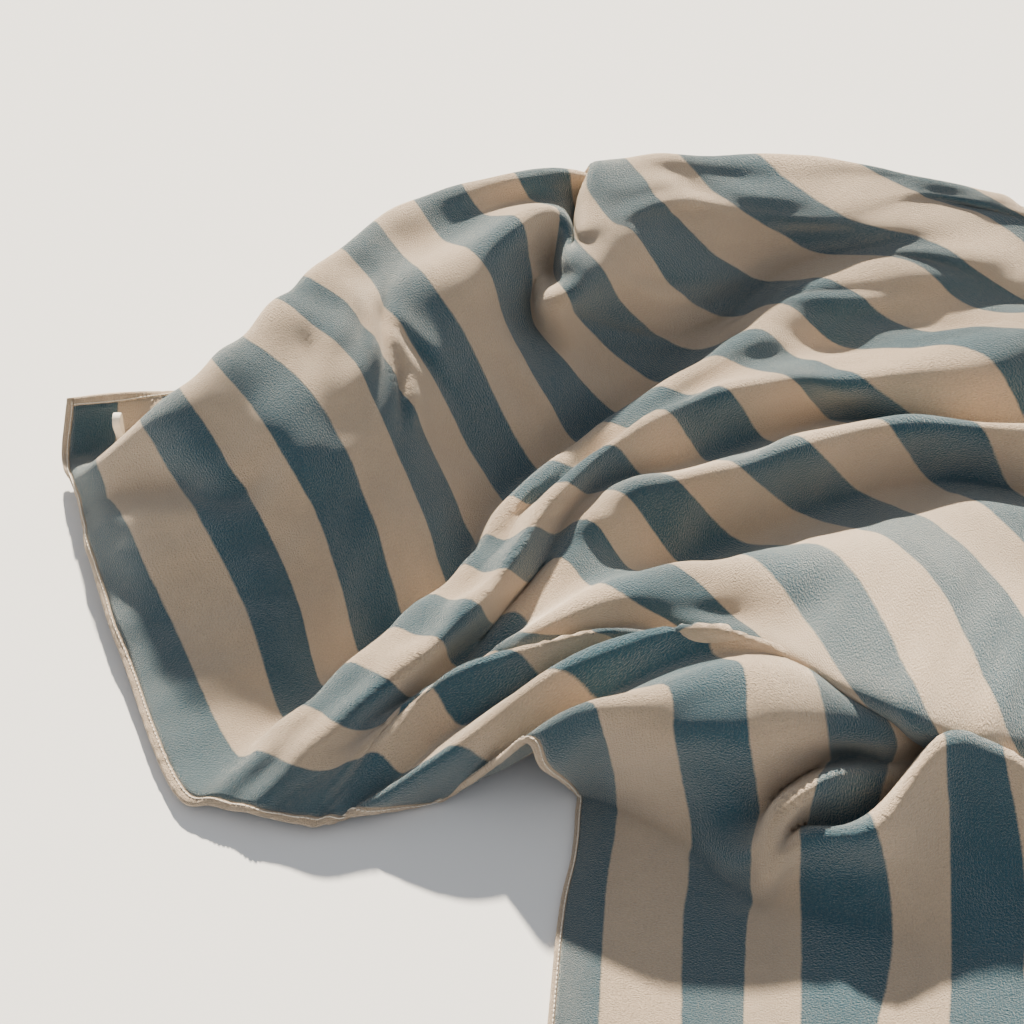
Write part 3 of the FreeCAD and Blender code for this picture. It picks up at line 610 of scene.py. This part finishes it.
# %% [markdown]
# ## The hanging loop
#
# The loop is one narrow woven tape, folded on itself and caught in the hem, so it is a ribbon along
# a teardrop path. Each section of the ribbon is turned to stand square to the path.

# %% Hanging loop
TAPE_WIDTH, TAPE_THICKNESS, LOOP_GAP = 5.0, 1.2, 8.0
TAPE_SIDES, SQUARENESS = 36, 0.6
TAPE_SIDE_STEP = 0.3     # how far apart the tape's sides are in its UV map
LOOP_FOOT, LOOP_SECTIONS = 0.8, 60


def ribbon(path, out, width_way, width, thickness):
    """Points of a closed ribbon: a squarish oval carried along a path. At angle a it is width / 2
    times |cos a|^0.6 across and thickness / 2 times |sin a|^0.6 out, with the signs of cos and sin."""
    a = np.arange(TAPE_SIDES) * 2 * np.pi / TAPE_SIDES
    across = width / 2 * np.sign(np.cos(a)) * np.abs(np.cos(a)) ** SQUARENESS
    outward = thickness / 2 * np.sign(np.sin(a)) * np.abs(np.sin(a)) ** SQUARENESS
    return path[:, None] + across[:, None] * width_way + outward[:, None] * out[:, None]


def tube_faces(rings, sides):
    """Quads between rings of points, from each ring to the next and from the last to the first."""
    i = np.arange(rings)[:, None] * sides
    j = np.arange(sides)
    a, b = i + j, i + (j + 1) % sides
    total = rings * sides
    return np.stack((a, b, (b + sides) % total, (a + sides) % total), axis=-1).reshape(-1, 4)


def teardrop(radius, height, root, count):
    """A path up one leg from the root, round an arc of that radius under height, and down the other."""
    reach = height - radius - root
    lean = math.asin(radius / reach)
    arc = np.linspace(-lean, math.pi + lean, count)
    bend = np.stack((0 * arc, radius * np.cos(arc), height - radius + radius * np.sin(arc)), axis=1)
    s = np.linspace(0, 1, count // 2, endpoint=False)[:, None]
    foot = np.array((0.0, 0.0, root))
    back = bend[-1] + (s + 0.5 / len(s)) * (foot - bend[-1])
    return np.concatenate((foot + s * (bend[0] - foot), bend, back))


loop_path = teardrop(LOOP_GAP / 2 + TAPE_THICKNESS / 2, LOOP_LENGTH - TAPE_THICKNESS / 2, LOOP_FOOT,
                     LOOP_SECTIONS)
forward = unit(np.roll(loop_path, -1, axis=0) - np.roll(loop_path, 1, axis=0))
outward = np.cross(forward, (1.0, 0.0, 0.0))
loop_points = ribbon(loop_path, outward, np.array((1.0, 0.0, 0.0)), TAPE_WIDTH, TAPE_THICKNESS)
loop_faces = tube_faces(*loop_points.shape[:2])
loop_run = np.cumsum(np.linalg.norm(np.diff(loop_path, axis=0, prepend=loop_path[:1]), axis=1))
loop_round = np.arange(TAPE_SIDES) * TAPE_SIDE_STEP
loop_uv = np.stack(np.meshgrid(loop_run, loop_round, indexing="ij"), axis=-1).reshape(-1, 2) * MM
hanging_loop = add_mesh("hanging_loop_tape", placed(LOOP_ROOT + loop_points.reshape(-1, 3)),
                        loop_faces, loop_uv)
print("loop:", len(hanging_loop.data.polygons), "faces")

# %% [markdown]
# ## The care label
#
# The label is a scrap of satin ribbon whose free end curls a little. It is blank, and it starts
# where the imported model's label does, since it turns about that model's hinge.

# %% Care label
LABEL_WIDTH, LABEL_LENGTH, LABEL_THICKNESS = 26.0, 38.0, 0.5
LABEL_HEADING = math.radians(41.71)  # how far its seam turns from +X towards -Y
LABEL_LINES, LABEL_COLUMNS = 40, 24
along_seam = np.array((math.cos(LABEL_HEADING), -math.sin(LABEL_HEADING), 0))
away = np.array((-along_seam[1], along_seam[0], 0))
label_low, label_high = (np.array(corner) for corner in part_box("care_label"))
label_root = ((label_low + label_high) / 2 - layout_to_frame) / MM * (1, 1, 0) - away * LABEL_LENGTH / 2
s, t = np.meshgrid(np.linspace(0, 1, LABEL_LINES), np.linspace(-0.5, 0.5, LABEL_COLUMNS), indexing="ij")
curl = 0.8 + 1.6 * s**3 + 0.5 * np.sin(2 * np.pi * t) * s**2
label_grid = (label_root + s[..., None] * LABEL_LENGTH * away + t[..., None] * LABEL_WIDTH * along_seam
              + curl[..., None] * (0, 0, 1))
care_label = add_layer("care_label_satin", label_grid[:, ::-1], np.linspace(0, LABEL_LENGTH, LABEL_LINES),
                       np.linspace(0, LABEL_WIDTH, LABEL_COLUMNS), LABEL_THICKNESS)
print("label:", len(care_label.data.polygons), "faces")

# %% [markdown]
# ## Shader maths as Python
#
# A material is a sum of simple patterns. The small class below lets them be written as plain
# expressions: arithmetic on a Number adds a Math node and links it.

# %% Numbers and nodes
class Number:
    """A value that varies over a surface. Arithmetic on it adds Math nodes to its node tree."""

    def __init__(self, socket):
        self.socket = socket

    def math(self, operation, *values):
        node = self.socket.id_data.nodes.new("ShaderNodeMath")
        node.operation = operation
        for slot, value in zip(node.inputs, values):
            feed(slot, value)
        return Number(node.outputs[0])

    def __add__(self, other):
        return self.math("ADD", self, other)

    def __sub__(self, other):
        return self.math("SUBTRACT", self, other)

    def __rsub__(self, other):
        return self.math("SUBTRACT", other, self)

    def __mul__(self, other):
        return self.math("MULTIPLY", self, other)

    __radd__, __rmul__ = __add__, __mul__

    def sine(self):
        return self.math("SINE", self)

    def held(self):
        """The value kept between 0 and 1."""
        return self.math("MAXIMUM", self.math("MINIMUM", self, 1.0), 0.0)


def feed(slot, value):
    """Link a Number or socket to a slot, or set the slot's own value."""
    if isinstance(value, Number):
        value = value.socket
    if isinstance(value, bpy.types.NodeSocket):
        slot.id_data.links.new(value, slot)
    else:
        slot.default_value = value


# %% [markdown]
# ## Nodes that are not maths
#
# Every other node comes from one method, which takes its type, its settings and its inputs. The
# patterns that all the cloths share, noise, a mix and a tint, are each a short method that calls it.

# %% Materials
COLOUR_A, COLOUR_B, COLOUR_RESULT = 6, 7, 2  # the Mix node's colour sockets, by place


class Finish:
    """A material and its node tree."""

    def __init__(self, name):
        self.material = bpy.data.materials.new(name)
        self.material.use_nodes = True
        self.tree = self.material.node_tree
        self.tree.nodes.clear()

    def node(self, kind, settings=None, inputs=None):
        """A node of any other kind: its settings are set first, then its sockets are fed."""
        node = self.tree.nodes.new(kind)
        for name, value in (settings or {}).items():
            setattr(node, name, value)
        for name, value in (inputs or {}).items():
            feed(node.inputs[name], value)
        return node

    def noise(self, where, size, detail=2.0, roughness=0.5):
        """Noise from 0 to 1 whose lumps are about size across, in the units of where."""
        node = self.node("ShaderNodeTexNoise", {"noise_dimensions": "3D"},
                         {"Vector": where, "Scale": 1 / size, "Detail": detail, "Roughness": roughness})
        return Number(node.outputs["Fac"])

    def mix(self, share, first, second):
        """A colour between first and second, by share."""
        node = self.node("ShaderNodeMix", {"data_type": "RGBA"})
        feed(node.inputs["Factor"], share)
        feed(node.inputs[COLOUR_A], first)
        feed(node.inputs[COLOUR_B], second)
        return node.outputs[COLOUR_RESULT]

    def tint(self, colour, strength):
        """A colour made lighter or darker by a number around 1."""
        node = self.node("ShaderNodeVectorMath", {"operation": "SCALE"})
        feed(node.inputs[0], colour[:3] if isinstance(colour, tuple) else colour)
        feed(node.inputs["Scale"], strength)
        return node.outputs[0]

    def surface(self, **inputs):
        """Finish the material with a Principled shader fed by the inputs."""
        sockets = {name.replace("_", " "): value for name, value in inputs.items()}
        shader = self.node("ShaderNodeBsdfPrincipled", None, sockets)
        output = self.node("ShaderNodeOutputMaterial")
        feed(output.inputs["Surface"], shader.outputs[0])
        return self.material


# %% [markdown]
# ## Striped terry
#
# The towel's face is cut pile: short upright loops with their tips sheared off. Three things make it
# read as terry. Its fibres' tips catch light that comes from behind, which is sheen. It is bumpy and
# speckled, because no two tufts lean alike. And faint ribs run along the stripes, one for each row.
# Everything varies with the cloth's own coordinates, so the pile keeps its size over every fold.

# %% Terry material
BLUE = (0.012, 0.090, 0.135, 1)
CREAM = (0.68, 0.51, 0.35, 1)
RIB = 1.9                # from one rib to the next
TUFT, LOOP, LEAN, CRUSH = 1.1, 0.7, 9.0, 45.0  # sizes of the noises, in millimetres of cloth
EDGE_SHARPNESS = 9.0     # how fast one stripe's colour gives way to the next


def cloth_millimetres(finish):
    """The cloth's own coordinates in millimetres: the vector, u and v."""
    uv = finish.node("ShaderNodeUVMap", {"uv_map": "cloth"})
    scaled = finish.node("ShaderNodeVectorMath", {"operation": "SCALE"})
    feed(scaled.inputs[0], uv.outputs[0])
    feed(scaled.inputs["Scale"], 1 / MM)
    parts = finish.node("ShaderNodeSeparateXYZ", None, {"Vector": scaled.outputs[0]})
    return scaled.outputs[0], Number(parts.outputs[0]), Number(parts.outputs[1])


def terry(name, striped):
    """Cut pile. A stripe's share of blue is sharpness * sin(pi u / stripe) + 0.5, kept from 0 to 1, and
    u wanders by tufts at the stripes' edges. The shade is a weighted sum of four noises."""
    finish = Finish(name)
    where, u, _ = cloth_millimetres(finish)
    tufts = finish.noise(where, TUFT, 3.0, 0.6)
    lean = finish.noise(where, LEAN, 2.0)
    crush = finish.noise(where, CRUSH, 2.0)
    colour = CREAM
    if striped:
        edge = u - HEM_WIDTH + (tufts - 0.5) * 1.6 + (lean - 0.5) * 1.2
        share = ((edge * (math.pi / STRIPE)).sine() * EDGE_SHARPNESS + 0.5).held()
        colour = finish.mix(share, CREAM, BLUE)
    loops = finish.noise(where, LOOP, 2.0)
    shade = 0.50 + tufts * 0.62 + loops * 0.26 + lean * 0.12 + (crush - 0.5) * 0.2
    ribs = ((u + (lean - 0.5) * 1.5) * (2 * math.pi / RIB)).sine()
    height = ribs * (tufts * 0.12) + tufts * 2.0 + loops * 1.6 + lean * 0.5
    bump = finish.node("ShaderNodeBump", None, {"Strength": 1.0, "Distance": 1.3 * MM, "Height": height})
    return finish.surface(Base_Color=finish.tint(colour, shade), Roughness=0.95, Normal=bump.outputs[0],
                          Sheen_Weight=0.8, Sheen_Roughness=0.4, Sheen_Tint=(1.0, 0.93, 0.84, 1))


striped_terry = terry("striped terry", True)
plain_terry = terry("cream terry", False)
for piece in (panel, hood):
    piece.data.materials.append(striped_terry)
for piece in [binding, *hems.values()]:
    piece.data.materials.append(plain_terry)
print("terry nodes:", len(striped_terry.node_tree.nodes), "striped,", len(plain_terry.node_tree.nodes), "plain")

# %% [markdown]
# ## Tape, satin and thread
#
# The small pieces are flat weaves and thread. They are smoother than the pile, so they get less
# sheen, and satin gets none: its long floats of yarn shine by a lower roughness instead.

# %% Small materials
def woven(name, colour, pitch, roughness, sheen):
    """A flat weave: the product of two crossed sines for warp and weft, and a slow unevenness of
    colour. The pitch is how far one thread is from the next but one, in millimetres."""
    finish = Finish(name)
    where, along, across = cloth_millimetres(finish)
    weave = (along * (2 * math.pi / pitch)).sine() * (across * (2 * math.pi / pitch)).sine()
    uneven = finish.noise(where, 6.0, 3.0)
    bump = finish.node("ShaderNodeBump", None, {"Strength": 0.5, "Distance": 0.15 * MM, "Height": weave})
    return finish.surface(Base_Color=finish.tint(colour, 0.86 + uneven * 0.28 + weave * 0.05),
                          Roughness=roughness, Normal=bump.outputs[0],
                          Sheen_Weight=sheen, Sheen_Roughness=0.4)


def thread_finish(name, colour):
    """Thread: fine noise for its fibres, over a slightly uneven colour. A stitch has no UV map, so
    the noise reads the place in the frame."""
    finish = Finish(name)
    where = finish.node("ShaderNodeTexCoord").outputs["Object"]
    fibres = finish.noise(where, 0.5 * MM, 2.0)
    uneven = finish.noise(where, 9 * MM, 2.0)
    bump = finish.node("ShaderNodeBump", None, {"Strength": 0.6, "Distance": 0.1 * MM, "Height": fibres})
    return finish.surface(Base_Color=finish.tint(colour, 0.84 + uneven * 0.3), Roughness=0.6,
                          Normal=bump.outputs[0], Sheen_Weight=0.3, Sheen_Roughness=0.4)


TAPE_CREAM, THREAD_CREAM = (0.80, 0.74, 0.64, 1), (0.78, 0.69, 0.57, 1)
SATIN_WHITE = (0.82, 0.81, 0.78, 1)
hanging_loop.data.materials.append(woven("cream tape", TAPE_CREAM, 0.7, 0.7, 0.4))
care_label.data.materials.append(woven("satin label", SATIN_WHITE, 0.4, 0.35, 0.0))
cream_thread = thread_finish("cream thread", THREAD_CREAM)
for piece in threads:
    piece.data.materials.append(cream_thread)
print("small pieces finished:", 2 + len(threads))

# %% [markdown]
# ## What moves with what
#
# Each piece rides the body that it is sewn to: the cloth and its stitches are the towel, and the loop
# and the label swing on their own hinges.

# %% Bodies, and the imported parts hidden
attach(panel, "towel")
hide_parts("towel_panel")
for node, hem in hems.items():
    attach(hem, "towel")
    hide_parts(node)
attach(hood, "towel")
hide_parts("hood_panel")
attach(binding, "towel")
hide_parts("hood_front_binding")
for piece in threads:
    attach(piece, "towel")
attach(hanging_loop, "loop")
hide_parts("hanging_loop")
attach(care_label, "label")
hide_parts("care_label")

# %% [markdown]
# ## Floor and light
#
# Low warm light from behind the folds rakes across them: the crests shine and the near slopes fall
# into shade, which is what makes soft cloth read as deep. It is one distant lamp, so its light is
# the same everywhere, and a pale even world fills the shade.

# %% Floor and light
def add_floor(size):
    """A square pale floor at the height that the towel lies on."""
    corners = np.array([(-1, -1, 0), (1, -1, 0), (1, 1, 0), (-1, 1, 0)]) * size / 2
    floor = add_mesh("floor", corners, np.array([(0, 1, 2, 3)]))
    finish = Finish("pale floor")
    floor.data.materials.append(finish.surface(Base_Color=(0.86, 0.86, 0.86, 1), Roughness=0.9))


def add_sun(name, azimuth, elevation, strength, colour, softness):
    """A distant lamp: azimuth is measured from straight behind the towel towards its left."""
    data = bpy.data.lights.new(name, "SUN")
    data.energy, data.color, data.angle = strength, colour, math.radians(softness)
    lamp = bpy.data.objects.new(name, data)
    lamp.rotation_euler = (math.radians(elevation - 90), 0, math.radians(azimuth))
    bpy.context.scene.collection.objects.link(lamp)


FLOOR_SIZE = 8.0
WARM, SKY = (1.0, 0.89, 0.72), (0.93, 0.96, 1.0, 1)
add_floor(FLOOR_SIZE)
add_sun("key", 5, 27, 20.0, WARM, 2)
world = bpy.data.worlds.new("studio")
world.use_nodes = True
sky = world.node_tree.nodes["Background"].inputs
sky["Color"].default_value, sky["Strength"].default_value = SKY, 0.55
bpy.context.scene.world = world
print("lamps:", [lamp.name for lamp in bpy.data.lights])
